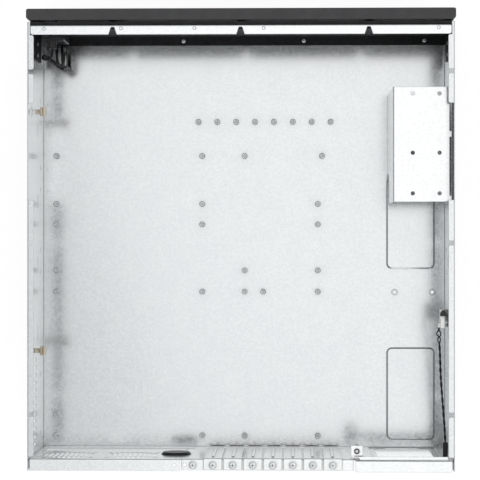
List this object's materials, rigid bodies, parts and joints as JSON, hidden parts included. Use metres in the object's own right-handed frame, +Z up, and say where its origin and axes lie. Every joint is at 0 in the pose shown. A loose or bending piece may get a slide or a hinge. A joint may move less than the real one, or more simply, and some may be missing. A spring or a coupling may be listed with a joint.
{
  "type": "rackmount server case",
  "caption": "Empty short rackmount server case, lid off: galvanised tray with standoffs, slotted rear wall, drive bracket, black front sheet and grey bezel.",
  "frame": {"origin": "middle of the footprint, on the surface that the case stands on", "axes": "+Z up, +Y towards the front bezel, +X to the side with the drive bracket and the power supply"},
  "size_m": [0.436, 0.47, 0.132],
  "materials": {
    "galvanised_steel": "galvanised sheet, satin with a fine spangle",
    "zinc_plated_steel": "bright zinc plating",
    "rivet_aluminium": "satin",
    "standoff_steel": "zinc plated, satin",
    "black_painted_steel": "fine textured black powder coat",
    "bezel_plastic": "dark grey moulding with a fine grain",
    "black_plastic": "satin moulding",
    "white_plastic": "white moulding",
    "nylon": "natural nylon",
    "clear_plastic": "clear moulding",
    "black_sleeving": "soft sleeving"
  },
  "bodies": {
    "root": {"base_tray": "galvanised_steel", "rear_panel": "galvanised_steel", "psu_plate": "galvanised_steel", "psu_plate_screws": "zinc_plated_steel", "front_panel": "black_painted_steel", "front_rail": "galvanised_steel", "front_bezel": "bezel_plastic", "bezel_screws": "zinc_plated_steel", "lip_rivets": "rivet_aluminium", "side_rivets": "rivet_aluminium", "rail_rivets": "black_painted_steel", "slot_cover_1": "galvanised_steel", "slot_cover_2": "galvanised_steel", "slot_cover_3": "galvanised_steel", "slot_cover_4": "galvanised_steel", "slot_cover_5": "galvanised_steel", "slot_cover_6": "galvanised_steel", "slot_cover_7": "galvanised_steel", "slot_screws": "zinc_plated_steel", "blanking_plug": "black_plastic", "clinch_nut": "black_painted_steel", "board_standoffs": "standoff_steel", "card_row_standoffs": "standoff_steel", "drive_bracket": "galvanised_steel", "drive_bracket_screws": "zinc_plated_steel", "cable_saddle_front": "nylon", "cable_saddle_rear": "nylon", "indicator_lenses": "clear_plastic", "control_module": "black_plastic", "module_screws": "zinc_plated_steel", "front_lead_plug": "black_plastic", "front_lead_upper": "black_sleeving", "front_lead_hank": "black_sleeving", "front_lead_tie": "black_plastic", "front_lead_lower": "black_sleeving", "front_lead_header": "black_plastic", "switch_bracket": "galvanised_steel", "switch_bracket_screws": "zinc_plated_steel", "switch_body": "white_plastic", "switch_screws": "zinc_plated_steel", "switch_lead": "black_sleeving", "switch_lead_plug": "black_plastic"},
    "power_button": {"power_button": "black_plastic"},
    "reset_button": {"reset_button": "black_plastic"},
    "switch_plunger": {"switch_plunger": "black_plastic"}
  },
  "joints": [
    {"name": "power_press", "type": "slide", "parent": "root", "child": "power_button", "axis": [0, -1, 0], "range_m": [0, 0.0015], "stiffness_N_per_m": 600},
    {"name": "reset_press", "type": "slide", "parent": "root", "child": "reset_button", "axis": [0, -1, 0], "range_m": [0, 0.0015], "stiffness_N_per_m": 400},
    {"name": "lid_switch_press", "type": "slide", "parent": "root", "child": "switch_plunger", "axis": [0, 0, -1], "range_m": [0, 0.0025], "stiffness_N_per_m": 300}
  ]
}
